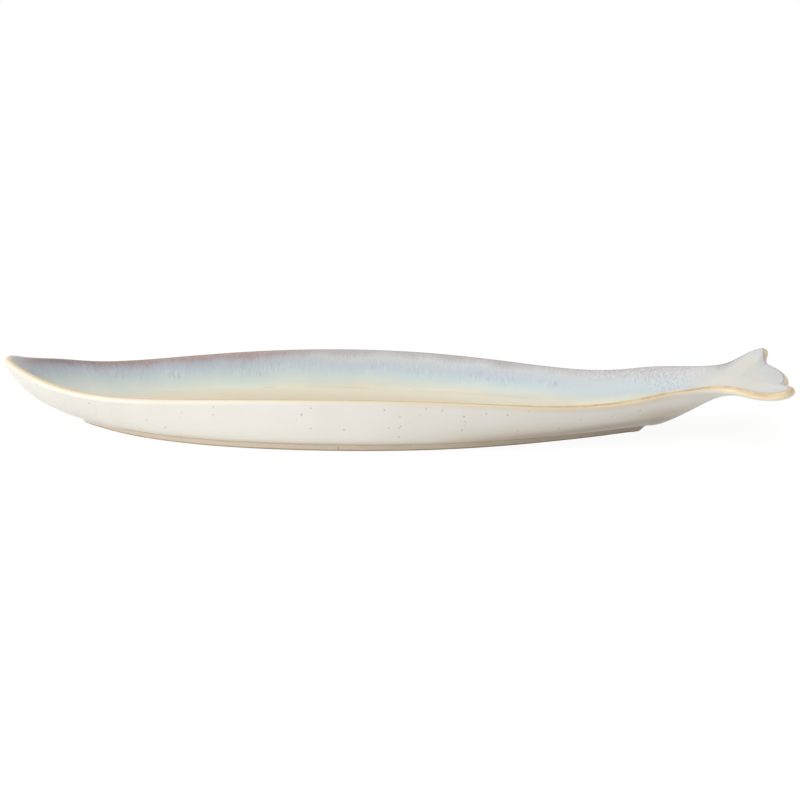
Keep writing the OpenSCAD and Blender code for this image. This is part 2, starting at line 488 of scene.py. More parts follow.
def dress(piece: Piece, material: bpy.types.Material, node: str) -> None:
    """Shades a piece, gives it its material and puts it on the frame.

    Args:
        piece: The piece.
        material: Its material.
        node: The node of the solid model that it stands for.
    """
    pick(piece)
    bpy.ops.object.shade_smooth_by_angle(angle=CREASE)
    piece.data.materials.clear()
    piece.data.materials.append(material)
    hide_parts(node)
    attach(piece, BODY)
    log.info("%s: %d faces for %s", piece.name, len(piece.data.polygons), node)


def sum_node(operation: str, turned: bool = False) -> Callable[["Value", Number], "Value"]:
    """Makes a method that adds a Math node.

    Args:
        operation: What the node works out.
        turned: Whether the two values swap places.

    Returns:
        The method.
    """

    def method(first: "Value", second: Number) -> "Value":
        """Works out one value from two."""
        pair = {0: second, 1: first} if turned else {0: first, 1: second}
        return first.graph.get("ShaderNodeMath", {"operation": operation}, pair)

    return method


class Value:
    """An output socket of a shader node, with the sums that it can stand in."""

    def __init__(self, graph: "Graph", socket: bpy.types.NodeSocket) -> None:
        """Keeps the graph and the socket."""
        self.graph = graph
        self.socket = socket

    __add__ = __radd__ = sum_node("ADD")
    __sub__ = sum_node("SUBTRACT")
    __rsub__ = sum_node("SUBTRACT", turned=True)
    __mul__ = __rmul__ = sum_node("MULTIPLY")
    __truediv__ = sum_node("DIVIDE")
    __rtruediv__ = sum_node("DIVIDE", turned=True)
    at_least = sum_node("MAXIMUM")

    def step(self, low: float, high: float) -> "Value":
        """Makes a soft step.

        Args:
            low: Where it starts, at 0.
            high: Where it ends, at 1.

        Returns:
            The step.
        """
        return self.graph.get(
            "ShaderNodeMapRange",
            {"interpolation_type": "SMOOTHSTEP"},
            {"Value": self, "From Min": low, "From Max": high, "To Min": 0.0, "To Max": 1.0},
        )

    def fall(self, low: float, high: float) -> "Value":
        """Returns a soft step from 1 at low to 0 at high."""
        return 1 - self.step(low, high)

    def bell(self, middle: float, reach: float) -> "Value":
        """Returns a soft hump that is 1 at middle and 0 a reach away."""
        return self.step(middle - reach, middle) * self.fall(middle, middle + reach)

    def swing(self, size: Number) -> "Value":
        """Turns noise that is about 0.5 into a swing to both sides of 0."""
        return (self - 0.5) * size


class Graph:
    """The nodes of one material or world."""

    def __init__(self, owner: bpy.types.ID) -> None:
        """Clears the owner's nodes.

        Args:
            owner: A material or world.
        """
        owner.use_nodes = True
        self.owner = owner
        self.tree = owner.node_tree
        self.tree.nodes.clear()

    def node(self, kind: str, settings: dict | None = None, values: dict | None = None) -> bpy.types.Node:
        """Adds a node.

        Args:
            kind: Its type.
            settings: Its settings, set first; stops are those of a colour ramp.
            values: What goes in its sockets, by name or number.

        Returns:
            The node.
        """
        node = self.tree.nodes.new(kind)
        for name, setting in (settings or {}).items():
            if name == "stops":
                self._set_stops(node.color_ramp, setting)
            else:
                setattr(node, name, setting)
        for key, value in (values or {}).items():
            socket = node.inputs[key]
            if isinstance(value, Value):
                self.tree.links.new(value.socket, socket)
            elif isinstance(value, tuple) and socket.type == "RGBA":
                socket.default_value = (*value, 1.0)
            else:
                socket.default_value = value
        return node

    @staticmethod
    def _set_stops(ramp: bpy.types.ColorRamp, stops: list[tuple[float, Triple]]) -> None:
        """Sets the stops of a colour ramp.

        Args:
            ramp: The ramp.
            stops: Places, 0 to 1, and colours.
        """
        while len(ramp.elements) < len(stops):
            ramp.elements.new(1.0)
        for element, (place, colour) in zip(ramp.elements, stops):
            element.position = place
            element.color = (*colour, 1.0)

    def get(
        self, kind: str, settings: dict | None = None, values: dict | None = None, out: int | str = 0
    ) -> Value:
        """Adds a node and returns one of its outputs."""
        return Value(self, self.node(kind, settings, values).outputs[out])

    def mix(self, first: Value | Triple, second: Value | Triple, share: Number) -> Value:
        """Mixes a share of a second colour into a first."""
        return self.get("ShaderNodeMix", {"data_type": "RGBA"}, {0: share, 6: first, 7: second}, out=2)

    def layers(self, colour: Value | Triple, coats: Coats) -> Value:
        """Lays colours over a first one, in order.

        Args:
            colour: The first colour.
            coats: Each next colour, with how much of it lies on top.

        Returns:
            The mixed colour.
        """
        for coat, share in coats:
            colour = self.mix(colour, coat, share)
        return colour

    def ramp(self, place: Value, reach: float, stops: Stops) -> Value:
        """Colours a length, up to its reach, by stops of lengths and screen colours."""
        shares = [(length / reach, tone(*colour)) for length, *colour in stops]
        return self.get("ShaderNodeValToRGB", {"stops": shares}, {0: place / reach})

    def vector(self, x: Number, y: Number, z: Number) -> Value:
        """Joins three values to a vector."""
        return self.get("ShaderNodeCombineXYZ", None, {0: x, 1: y, 2: z})

    def parts(self, vector: Value) -> Flow:
        """Splits a vector to its three values."""
        outputs = self.node("ShaderNodeSeparateXYZ", None, {0: vector}).outputs
        return tuple(Value(self, output) for output in outputs)

    def place(self) -> Value:
        """Returns the point on the piece, in metres."""
        return self.get("ShaderNodeTexCoord", out="Object")

    def noted(self, name: str) -> Flow:
        """Returns the three values that a piece's attribute holds at a point."""
        return self.parts(self.get("ShaderNodeAttribute", {"attribute_name": name}, out="Vector"))

    def flow(self) -> Flow:
        """Returns the way along the rim, the run from its crest and the way across, in millimetres."""
        return tuple(length / MM for length in self.noted("flow"))

    def noise(self, vector: Value, scale: float, detail: float = 2.0, roughness: float = 0.5) -> Value:
        """Returns cloudy noise, about 0 to 1; the scale is a count to the length unit."""
        values = {"Vector": vector, "Scale": scale, "Detail": detail, "Roughness": roughness}
        return self.get("ShaderNodeTexNoise", None, values)

    def streaks(self, flow: Flow, lengths: Triple, detail: float = 2.0, roughness: float = 0.5) -> Value:
        """Returns noise that is drawn out along, down and across the wall, in millimetres."""
        drawn = self.vector(*(way / length for way, length in zip(flow, lengths)))
        return self.noise(drawn, 1.0, detail, roughness)

    def specks(self, vector: Value, cell: float, size: float, share: float) -> Value:
        """Scatters round specks.

        Args:
            vector: The point, in two lengths.
            cell: The distance between places for a speck.
            size: The largest speck's radius.
            share: The share of the places that hold one.

        Returns:
            1 in a speck and 0 outside.
        """
        cells = {"Vector": vector, "Scale": 1 / cell}
        node = self.node("ShaderNodeTexVoronoi", {"voronoi_dimensions": "2D"}, cells)
        chance, spread, _ = self.parts(Value(self, node.outputs["Color"]))
        distance = Value(self, node.outputs["Distance"]) * cell
        sharp, smallest = 0.001, 0.35
        there = (1 - chance).step(1 - share, 1 - share + sharp)
        radius = size * (smallest + (1 - smallest) * spread)
        return there * (distance / radius).fall(0.6, 1.1)

    def bump(self, height: Value, strength: float, distance: float) -> Value:
        """Returns the normal of a surface with small heights."""
        values = {"Height": height, "Strength": strength, "Distance": distance}
        return self.get("ShaderNodeBump", None, values)

    def surface(self, values: dict, coat: float = 0.0, shine: float = 0.5) -> bpy.types.Material:
        """Adds the surface shader and the output.

        Args:
            values: What goes in its sockets.
            coat: Its clear coat.
            shine: Its specular level.

        Returns:
            The material.
        """
        steady = {"Specular IOR Level": shine, "Coat Weight": coat, "Coat Roughness": 0.06}
        shader = self.get("ShaderNodeBsdfPrincipled", None, {**steady, **values})
        self.node("ShaderNodeOutputMaterial", None, {0: shader})
        return self.owner


class DishSpot:
    """Where a point of the dish's glaze lies, and the noise that its patterns share.

    The run from the rim's crest is in millimetres. The belly, neck, fin, wrap, tip and
    near side are 1 there and fade to 0 outside.
    """

    def __init__(self, g: Graph) -> None:
        """Works out the values.

        Args:
            g: The material's nodes.
        """
        self.flow, self.place = g.flow(), g.place()
        self.x = x = g.parts(self.place)[0]
        self.run = self.flow[1]
        self.belly = x.step(-0.16, -0.05) * x.fall(0.10, 0.18)
        self.neck = x.step(0.12, 0.19) * x.fall(0.215, 0.25)
        self.fin = x.step(0.20, 0.26)
        self.wrap = x.step(0.225, 0.265)
        self.tip = x.fall(-0.302, -0.272)
        self.near = self.flow[2].fall(-4.0, 4.0)
        self.wide = g.streaks(self.flow, (22.0, 60.0, 60.0))
        self.fine = g.noise(self.place, 620.0, 3.0, 0.65)
        self.grain = g.noise(self.place, 1250.0, 2.0, 0.7)


@dataclass(frozen=True)
class ReactiveGlaze:
    """The glaze in the dish, which breaks amber at the rim and runs to cream.

    Each table of colours gives them by the run from the rim's crest, in millimetres. Their tones along the
    platter and at the foot of the wall also hold painted shade and light that even out how the lamps light
    the dish.
    """

    name: str = "reactive_dish_glaze"
    table_reach: float = 92.0
    amber: Triple = tone(203, 168, 114)
    honey: Triple = tone(237, 216, 170)
    cream: Triple = tone(238, 228, 204)
    brown: Triple = tone(142, 116, 106)
    frost: Triple = tone(222, 227, 230)
    # Pale grey of the nose tip, which also serves as a painted soft highlight there.
    mist: Triple = tone(214, 210, 208)
    # Pale cream laid on as painted light where the wall meets the floor.
    painted_join_light: Triple = tone(242, 232, 206)
    mauve: Triple = tone(158, 146, 156)
    slate: Triple = tone(150, 154, 168)
    rust: Triple = tone(196, 170, 158)
    head: Stops = (
        (0.0, 166, 146, 134), (3.5, 150, 130, 122), (6.0, 152, 140, 142), (8.5, 166, 163, 171),
        (12.0, 178, 184, 192), (17.0, 187, 196, 201), (23.0, 200, 209, 206), (30.0, 214, 220, 211),
        (38.0, 226, 228, 212), (50.0, 236, 228, 206),
    )
    shoulder: Stops = (
        (0.0, 162, 142, 134), (3.5, 166, 147, 141), (6.5, 172, 161, 165), (9.5, 179, 182, 193),
        (15.0, 187, 199, 206), (20.0, 198, 211, 213), (26.0, 210, 221, 215), (33.0, 224, 226, 209),
        (39.0, 233, 227, 205), (46.0, 240, 228, 202), (62.0, 242, 227, 198), (76.0, 238, 220, 187),
        (91.0, 233, 213, 179),
    )
    belly: Stops = (
        (0.0, 168, 163, 163), (3.0, 180, 177, 180), (6.0, 190, 191, 193), (9.0, 199, 204, 207),
        (13.0, 189, 197, 206), (17.0, 188, 199, 209), (22.0, 194, 209, 211), (27.0, 206, 214, 207),
        (33.0, 219, 215, 197), (39.0, 232, 224, 202), (46.0, 242, 231, 206), (62.0, 241, 227, 199),
        (76.0, 236, 218, 186), (91.0, 230, 211, 179),
    )
    neck: Stops = (
        (0.0, 186, 177, 176), (4.0, 190, 187, 188), (9.0, 194, 195, 196), (15.0, 198, 203, 206),
        (22.0, 195, 205, 210), (29.0, 196, 206, 207), (35.0, 214, 216, 203), (41.0, 234, 229, 208),
        (50.0, 238, 230, 208), (66.0, 236, 224, 196),
    )
    fin: Stops = (
        (0.0, 206, 196, 186), (5.0, 205, 203, 199), (10.0, 210, 210, 207), (16.0, 212, 213, 210),
        (24.0, 216, 215, 208), (34.0, 220, 216, 205), (50.0, 219, 214, 203), (70.0, 217, 213, 203),
    )

    def coloured_run(self, g: Graph, at: DishSpot) -> Value:
        """Colours the uneven run from the rim, by where it lies along the platter.

        Args:
            g: The material's nodes.
            at: Where the point lies.

        Returns:
            The colour.
        """
        broad = g.streaks(at.flow, (75.0, 90.0, 90.0), 1.0)
        drip = g.streaks(at.flow, (1.7, 9.0, 20.0), 3.0, 0.6)
        off_rim = at.run.step(0.5, 5.0)
        fringe = at.run.bell(13.0, 9.0) * (0.4 + at.belly * 0.6)
        waves = at.wide.swing(9.0) + broad.swing(6.0) + drip.swing(3.0 + fringe * 20.0)
        moved = at.run + waves * off_rim + at.fine.swing(3.0)
        # The tables' tones also hold painted shade and light along the platter.
        tables = (self.shoulder, self.belly, self.neck, self.fin)
        colours = [g.ramp(moved, self.table_reach, table) for table in tables]
        starts = ((-0.25, -0.17), (-0.13, -0.03), (0.09, 0.18), (0.21, 0.25))
        shares = [at.x.step(*start) for start in starts]
        return g.layers(g.ramp(moved, self.table_reach, self.head), list(zip(colours, shares)))

    def wall_coats(self, g: Graph, at: DishSpot, marks: Value, band: Value) -> Coats:
        """Lists what lies over the colours of the wall, the neck, the fin and the nose.

        Args:
            g: The material's nodes.
            at: Where the point lies.
            marks: Thin marks, above 0 where light and below where dark.
            band: The band of broken glaze below the crest.

        Returns:
            The coats, in order.
        """
        # Painted light over the foot of the wall and the floor's edge, which hides the shade in the corner
        # where the wall meets the floor.
        foot = g.noted("rise")[0].fall(0.0, 0.014) * at.run.fall(40.0, 54.0) * at.x.fall(0.1, 0.15)
        dash = g.streaks(at.flow, (1.2, 3.0, 20.0), 2.0, 0.6)
        broken = (at.grain * 0.4 + dash * 0.6).step(0.5, 0.6)
        grains = g.noise(at.place, 480.0, 3.0, 0.75)
        below = (at.run + at.wide.swing(12.0)).step(7.0, 20.0) * at.x.fall(0.185, 0.215)
        frosted = at.neck * (1 - below)
        rays = g.streaks(at.flow, (1.6, 26.0, 60.0), 2.0, 0.6).fall(0.34, 0.5)
        return [
            # Painted light at the wall's foot.
            (self.painted_join_light, foot * 0.62),
            (self.frost, marks.step(0.02, 0.18) * 0.4),
            (self.slate, (marks * -1.0).step(0.02, 0.18) * 0.45),
            (self.rust, dash.fall(0.36, 0.5) * band * (0.5 - at.belly * 0.35)),
            (self.brown, broken * band * (0.65 - at.belly * 0.45)),
            (self.mauve, grains.fall(0.36, 0.52) * frosted * 0.38),
            (self.frost, grains.step(0.5, 0.66) * frosted * 0.46),
            (self.mauve, rays * at.fin * at.run.fall(12.0, 26.0) * 0.22),
            # Paler at the nose tip: the glaze lighter there, with a painted soft highlight.
            (self.mist, at.tip * 0.55),
            (self.frost, at.x.fall(-0.3, -0.282) * 0.6),
        ]

    def rim_coats(self, g: Graph, at: DishSpot) -> Coats:
        """Lists the brown edge and the amber line of the rim.

        Args:
            g: The material's nodes.
            at: Where the point lies.

        Returns:
            The coats, in order.
        """
        edge = (at.run + at.wide.swing(1.2)).fall(0.5, 2.4) * (1 - at.near * 0.6)
        beside = at.x.fall(-0.28, -0.21) * 2.2 + at.x.step(0.06, 0.12) * (1 - at.wrap) * 1.5
        lip = at.run + at.fine.swing(0.8) - (1.0 + at.near * (0.9 + beside) + at.wrap * 2.0)
        glint = g.noise(at.place, 130.0, 3.0).step(0.35, 0.7)
        pale = at.x.fall(-0.19, -0.08)
        gold = g.mix(self.amber, self.honey, (glint * 0.6 + at.wrap * 0.15).at_least(pale * 0.85))
        gold = g.mix(gold, self.cream, (1 - glint) * at.run.fall(0.4, 1.8) * at.wrap * 0.55)
        return [
            (self.brown, edge * (0.5 - at.belly * 0.15 - at.tip * 0.4 - at.neck * 0.25)),
            (self.brown, lip.bell(1.3, 1.6) * at.x.step(0.19, 0.23) * 0.7),
            (gold, lip.fall(-0.5, 0.5) * 0.92),
        ]

    def material(self) -> bpy.types.Material:
        """Builds the material.

        Returns:
            The material.
        """
        g = Graph(bpy.data.materials.new(self.name))
        at = DishSpot(g)
        patch = g.streaks(at.flow, (30.0, 18.0, 60.0)).step(0.42, 0.6)
        marks = g.streaks(at.flow, (1.4, 8.0, 20.0), 3.0, 0.6).swing(patch) * at.run.bell(17.0, 12.0)
        band = (at.run + at.wide.swing(6.0)).fall(3.0, 9.0) * at.run.step(0.8, 2.0) * (1 - at.fin)
        coats = self.wall_coats(g, at, marks, band) + self.rim_coats(g, at)
        colour = g.layers(self.coloured_run(g, at), coats)
        rough = 0.36 + at.grain.swing(band) * 0.15 + at.fine.swing(0.08)
        height = g.noise(at.place, 160.0) * 0.6 + at.fine * 0.25 + marks * 0.5
        normal = g.bump(height, 0.12, 0.6 * MM)
        return g.surface({"Base Color": colour, "Roughness": rough, "Normal": normal}, coat=0.1)


@dataclass(frozen=True)
class CreamGlaze:
    """The glossy cream glaze on the outside, with iron specks and painted shade on its lower side."""

    name: str = "cream_outside_glaze"
    cream: Triple = tone(243, 240, 234)
    warm: Triple = tone(234, 228, 213)
    amber: Triple = tone(211, 177, 117)
    honey: Triple = tone(237, 219, 174)
    speck: Triple = tone(178, 146, 90)
    shade: Triple = tone(166, 147, 120)
    olive: Triple = tone(186, 172, 134)
    # Tan of thin glaze, also used as painted shade on the lower side, under the tail and below the crest.
    thin: Triple = tone(207, 188, 160)

    def side_coats(self, x: Value, run: Value, level: Value, cloud: Value) -> Coats:
        """Lists the tints of the side, which stay off the base: warmer toward the foot, and painted shade
        low on the tail's side, under the neck and tail, just above the foot ring and just below the crest,
        where the glaze is also thinner.

        Args:
            x: The place along the platter, in metres.
            run: The run from the rim's crest, in millimetres.
            level: The height, in millimetres.
            cloud: Cloudy noise.

        Returns:
            The coats, in order.
        """
        side = run.fall(120.0, 160.0)
        body = 0.3 + x.step(-0.18, -0.06) * 0.7
        # Painted shade low on the side toward the tail.
        thin = (level + cloud.swing(3.0)).fall(7.0, 24.0) * x.step(0.0, 0.16) * side
        # Painted shade under the neck and tail.
        under = (run + cloud.swing(6.0)).step(9.0, 30.0) * x.step(0.15, 0.21)
        low = (level - x.step(0.1, 0.2) * 6.0).fall(7.0, 15.0) * side
        return [
            (self.warm, level.fall(6.0, 12.0) * body * 0.7),
            # Painted shade low on the tail's side and under the neck and tail, in the tan of thin glaze.
            (self.thin, (thin * 0.85).at_least(under * side * 0.75)),
            # Painted shade in a band just above the foot ring, under the wall.
            (self.thin, level.fall(6.2, 9.5) * side * body * 0.5),
            (self.shade, low * x.step(0.03, 0.12) * 0.7),
            # Darker just below the crest: thinner glaze at the rim, and painted shade that tones down the
            # rim's highlight.
            (self.thin, run.fall(1.0, 6.0) * (0.16 + x.step(-0.16, 0.08) * 0.46) * x.fall(0.2, 0.24)),
        ]

    def material(self) -> bpy.types.Material:
        """Builds the material.

        Returns:
            The material.
        """
        g = Graph(bpy.data.materials.new(self.name))
        flow, place = g.flow(), g.place()
        along, run, _ = flow
        x, _, z = g.parts(place)
        cloud = g.noise(place, 26.0, 3.0, 0.55)
        curtain = g.streaks(flow, (24.0, 70.0, 80.0))
        sheet = g.vector(along, run, 0.0)
        pale, dark = g.specks(sheet, 8.0, 1.1, 0.14), g.specks(sheet, 15.0, 1.15, 0.30)
        fin = x.step(0.225, 0.265)
        rim = run + g.noise(place, 260.0, 3.0).swing(1.0) + x.step(0.14, 0.22) * 0.9
        honey = (rim - fin * 2.0).fall(0.6, 2.8) * (0.2 + x.step(-0.22, -0.06) * 0.5)
        gold = (rim + 0.3).fall(0.2, 1.3) * (0.2 + x.step(-0.19, -0.06) * 0.55) * (1 - fin * 0.6)
        coats = [
            (self.warm, cloud * 0.7 + curtain * 0.6 - 0.25),
            *self.side_coats(x, run, z / MM, cloud),
            (self.olive, pale * 0.4),
            (self.speck, dark * 0.5),
            (self.honey, honey),
            (self.amber, gold * (0.85 + cloud.swing(0.8))),
        ]
        colour = g.layers(self.cream, coats)
        rough = 0.33 + cloud.swing(0.06) + dark * 0.1
        height = g.noise(place, 60.0) * 0.8 + g.noise(place, 420.0) * 0.2 - dark * 0.1
        normal = g.bump(height, 0.14, 0.7 * MM)
        return g.surface({"Base Color": colour, "Roughness": rough, "Normal": normal}, coat=0.05, shine=0.4)


@dataclass(frozen=True)
class BareStoneware:
    """Bare fired clay, as on the foot ring, over whose nose end glaze ran down, with a painted shadow under
    the wall and painted light toward the tail.
    """

    name: str = "bare_stoneware"
    clay: Triple = tone(238, 226, 206)
    pink: Triple = tone(229, 216, 200)
    # Paler clay laid on toward the tail: painted light that lifts the ring's shaded side.
    pale: Triple = tone(247, 237, 220)
    painted_junction_shadow: Triple = tone(176, 154, 126)
    dark: Triple = tone(220, 204, 180)
    scorched: Triple = tone(160, 132, 100)
    grit: Triple = tone(130, 104, 76)
    glaze: Triple = tone(238, 232, 222)
    run_down_x: float = -243.0
    run_down_slope: float = 0.11

    def material(self) -> bpy.types.Material:
        """Builds the material.

        Returns:
            The material.
        """
        g = Graph(bpy.data.materials.new(self.name))
        place = g.place()
        x, y, z = g.parts(place)
        cloud = g.noise(place, 45.0, 4.0, 0.6)
        grain = g.noise(place, 900.0, 4.0, 0.7)
        grit = g.specks(g.vector(x, y + z, 0.0), 4 * MM, 0.5 * MM, 0.2)
        # Painted light: the ring paler and less mottled toward the tail, on its shaded side.
        pale = x.step(0.06, 0.14)
        level = z / MM + cloud.swing(0.8)
        above = z / MM - (x / MM - self.run_down_x) * self.run_down_slope
        coats = [
            (self.clay, x.step(-0.2, -0.1)),
            (self.pale, pale),
            (self.dark, (cloud * 0.7 + grain.swing(0.5)) * (1 - pale * 0.6)),
            # Painted shadow along the top of the ring, under the wall, darker toward the tail.
            (self.painted_junction_shadow, level.step(4.3, 5.3) * (0.4 + x.step(0.02, 0.12) * 0.4)),
            (self.scorched, level.fall(0.4, 1.5) * 0.8),
            (self.glaze, above.step(-0.6, 0.6) * x.fall(-0.205, -0.185) * 0.85),
            (self.grit, grit * 0.7),
        ]
        colour = g.layers(self.pink, coats)
        rough = 0.68 + grain.swing(0.25)
        normal = g.bump(grain * 0.7 + cloud * 0.3 - grit * 0.3, 0.35, 0.4 * MM)
        return g.surface({"Base Color": colour, "Roughness": rough, "Normal": normal}, shine=0.35)


@dataclass
class GlazeCoat:
    """A coat of glaze on one face of the clay, up to the crest of the rim.

    A row of its waves has their share, their lengths along and across, and their start.
    """

    face: Face
    full: float
    rim: float = 0.3 * MM
    rings: int = 30
    lip_steps: int = 7
    floor_steps: int = 12
    hand_wave: float = 0.12 * MM
    wave_rows: tuple[tuple[float, ...], ...] = (
        (1.0, 93 * MM, 310 * MM, 0.0),
        (0.7, 47 * MM, -120 * MM, 1.3),
        (0.5, 29 * MM, 70 * MM, 4.1),
    )
    dish_waves: float = 0.6
    outside_pace: float = 1.02

    def thickness(self, t: float) -> float:
        """Returns the glaze's thickness at a place up the side."""
        return self.rim + (self.full - self.rim) * float(smooth(np.array(2 * (1 - t))))

    def waves(self, points: Points, share: float) -> Points:
        """Works out the small unevenness of a hand-made wall.

        Args:
            points: Points on the wall.
            share: How much of it shows here.

        Returns:
            A distance for each point.
        """
        x, y = points[:, 0], points[:, 1]
        sums = sum(
            size * np.sin(2 * math.pi * (x / along + y / across) + start)
            for size, along, across, start in self.wave_rows
        )
        return sums * self.hand_wave * share / sum(row[0] for row in self.wave_rows)

    def wave_share(self, t: float) -> float:
        """Finds how much of the waves shows.

        Args:
            t: From the foot (0) to the rim (1).

        Returns:
            The share.
        """
        if self.face is Face.OUTSIDE:
            return max(0.0, math.sin(math.pi * min(1.0, t * self.outside_pace)))
        return self.dish_waves * t * (1 - t) * 4

    def lines(self, form: PlatterForm) -> tuple[list[Points], list[Points]]:
        """Finds the free face's lines from the middle plane out to the crest.

        Args:
            form: The clay form.

        Returns:
            The lines, and the glaze's thickness along each.
        """
        sign = self.face.value
        lines, depths = [], []
        for k in range(self.rings + 1):
            t = k / self.rings
            base = form.side(t, sign * form.half_wall)
            depth = self.thickness(t) + self.waves(base, self.wave_share(t))
            lines.append(form.side(t, sign * (form.half_wall + depth)))
            depths.append(depth)
        for k in range(1, self.lip_steps + 1):
            angle = 90 * k / self.lip_steps
            lines.append(form.lip(angle if sign > 0 else 180 - angle, form.half_wall + self.rim))
            depths.append(np.full(form.rows + 1, self.rim))
        return lines, depths

    def build(self, name: str, form: PlatterForm) -> Piece:
        """Models the coat.

        Args:
            name: The piece's name.
            form: The clay form.

        Returns:
            The piece.
        """
        lines, depths = self.lines(form)
        floor = floor_lines(lines[0], self.floor_steps)
        rises = [0.0] * len(floor) + [min(1.0, k / self.rings) for k in range(len(lines))]
        lines, depths = floor + lines, [depths[0]] * len(floor) + depths
        rims = lines[-1]
        along = np.concatenate([[0], np.cumsum(np.linalg.norm(np.diff(rims, axis=0), axis=-1))])
        runs = run_from_crest(lines)
        flow = [np.stack([along, run, line[:, 1]], -1) for run, line in zip(runs, lines)]
        rise = [np.full((form.rows + 1, 3), share) for share in rises]
        notes = {"flow": both_sides(flow, (1, 1, -1)), "rise": both_sides(rise, (1, 1, 1))}
        weights = both_sides([np.stack([d, d, d], -1) for d in depths])[:, :, 0] / (2 * self.full)
        piece = sheet(name, both_sides(lines), notes, weights)
        if self.face is Face.OUTSIDE:
            self.open_foot(piece, form)
        thicken(piece, 2 * self.full, turned=self.face is Face.OUTSIDE)
        return piece

    @staticmethod
    def open_foot(piece: Piece, form: PlatterForm) -> None:
        """Takes out the faces of the floor that the foot ring and the base cover.

        Args:
            piece: The piece.
            form: The clay form.
        """
        mesh = piece.data
        rise = vectors(mesh.attributes["rise"].data, "vector")[:, 0]
        x = vectors(mesh.vertices, "co")[:, 0]
        corners = np.array([tuple(polygon.vertices) for polygon in mesh.polygons])
        on_floor = (rise[corners] == 0).all(1)
        cut_away(piece, on_floor & (x[corners].min(1) < form.foot_tip_x + form.glaze_gap))


@dataclass
class ClayBody:
    """The fired clay between the coats of glaze."""

    rings: int = 24
    lip_steps: int = 12
    floor_steps: int = 8

    def build(self, name: str, form: PlatterForm) -> Piece:
        """Models the clay as one closed wall.

        Args:
            name: The piece's name.
            form: The clay form.

        Returns:
            The piece.
        """
        inside = [form.side(k / self.rings, form.half_wall) for k in range(self.rings + 1)]
        outside = [form.side(k / self.rings, -form.half_wall) for k in range(self.rings + 1)]
        lip = [form.lip(180 * k / self.lip_steps, form.half_wall) for k in range(1, self.lip_steps)]
        upper = floor_lines(inside[0], self.floor_steps) + inside
        lower = floor_lines(outside[0], self.floor_steps) + outside
        half = np.stack(upper + lip + lower[::-1], 1)
        back = half[:, ::-1] * np.array([1, -1, 1])
        piece = sheet(name, np.concatenate([half, back[:, 1:]], 1))
        weld(piece)
        return piece


@dataclass
class FootRing:
    """The bare ring that the platter stands on."""

    land: float = 5 * MM
    draft: float = 3.4 * MM
    inner_draft: float = 1.6 * MM
    softening: float = 0.8 * MM
    arc_steps: int = 5
    side_steps: int = 6

    @property
    def thickness(self) -> float:
        """How wide the ring is on its top face."""
        return self.draft + self.land + self.inner_draft

    def profile(self, form: PlatterForm) -> list[tuple[float, float]]:
        """Finds the ring's section.

        Args:
            form: The clay form.

        Returns:
            Pairs of how far the outline is drawn in and the height, closed.
        """
        top, soft = form.foot_height, self.softening
        corners = [
            ((0.0, top), 0.0),
            ((self.draft, 0.0), soft),
            ((self.draft + self.land, 0.0), soft),
            ((self.thickness, top), 0.0),
        ]
        points = []
        for k, ((d, z), cut) in enumerate(corners):
            if cut == 0:
                points.append((d, z))
                continue
            here = np.array([d, z])
            before = unit(np.array(corners[k - 1][0]) - here) * cut
            after = unit(np.array(corners[k + 1][0]) - here) * cut
            for n in range(self.arc_steps + 1):
                t = n / self.arc_steps
                points.append(tuple(here + (1 - t) ** 2 * before + t**2 * after))
        dense = []
        for a, b in zip(points, points[1:] + points[:1]):
            steps = self.side_steps if math.dist(a, b) > 2 * soft else 1
            dense += [tuple(np.array(a) + (np.array(b) - np.array(a)) * n / steps) for n in range(steps)]
        return dense + dense[:1]

    def build(self, name: str, form: PlatterForm) -> Piece:
        """Models the ring.

        Args:
            name: The piece's name.
            form: The clay form.

        Returns:
            The piece.
        """
        loops = []
        for drawn_in, z in self.profile(form):
            half = form.foot_line(drawn_in)
            whole = np.vstack([half, half[-2::-1] * np.array([1, -1])])
            loops.append(np.hstack([whole, np.full((len(whole), 1), z)]))
        piece = sheet(name, np.stack(loops, 1))
        weld(piece)
        return piece


@dataclass
class BaseCoat:
    """The glaze on the base, inside the foot ring."""

    ring: FootRing
    full: float = 0.4 * MM
    steps: int = 16

    def build(self, name: str, form: PlatterForm) -> Piece:
        """Models the coat.

        Args:
            name: The piece's name.
            form: The clay form.

        Returns:
            The piece.
        """
        line = form.foot_line(self.ring.thickness + form.glaze_gap)
        level = form.foot_height - self.full
        edge = np.hstack([line, np.full((len(line), 1), level)])
        lines = floor_lines(edge, self.steps) + [edge]
        flow = [np.stack([p[:, 0], p[:, 1] + form.width, p[:, 1]], -1) for p in lines]
        weights = np.full((len(line), 2 * self.steps + 1), 0.5)
        piece = sheet(name, both_sides(lines), {"flow": both_sides(flow, (1, 1, -1))}, weights)
        thicken(piece, 2 * self.full, turned=True)
        return piece


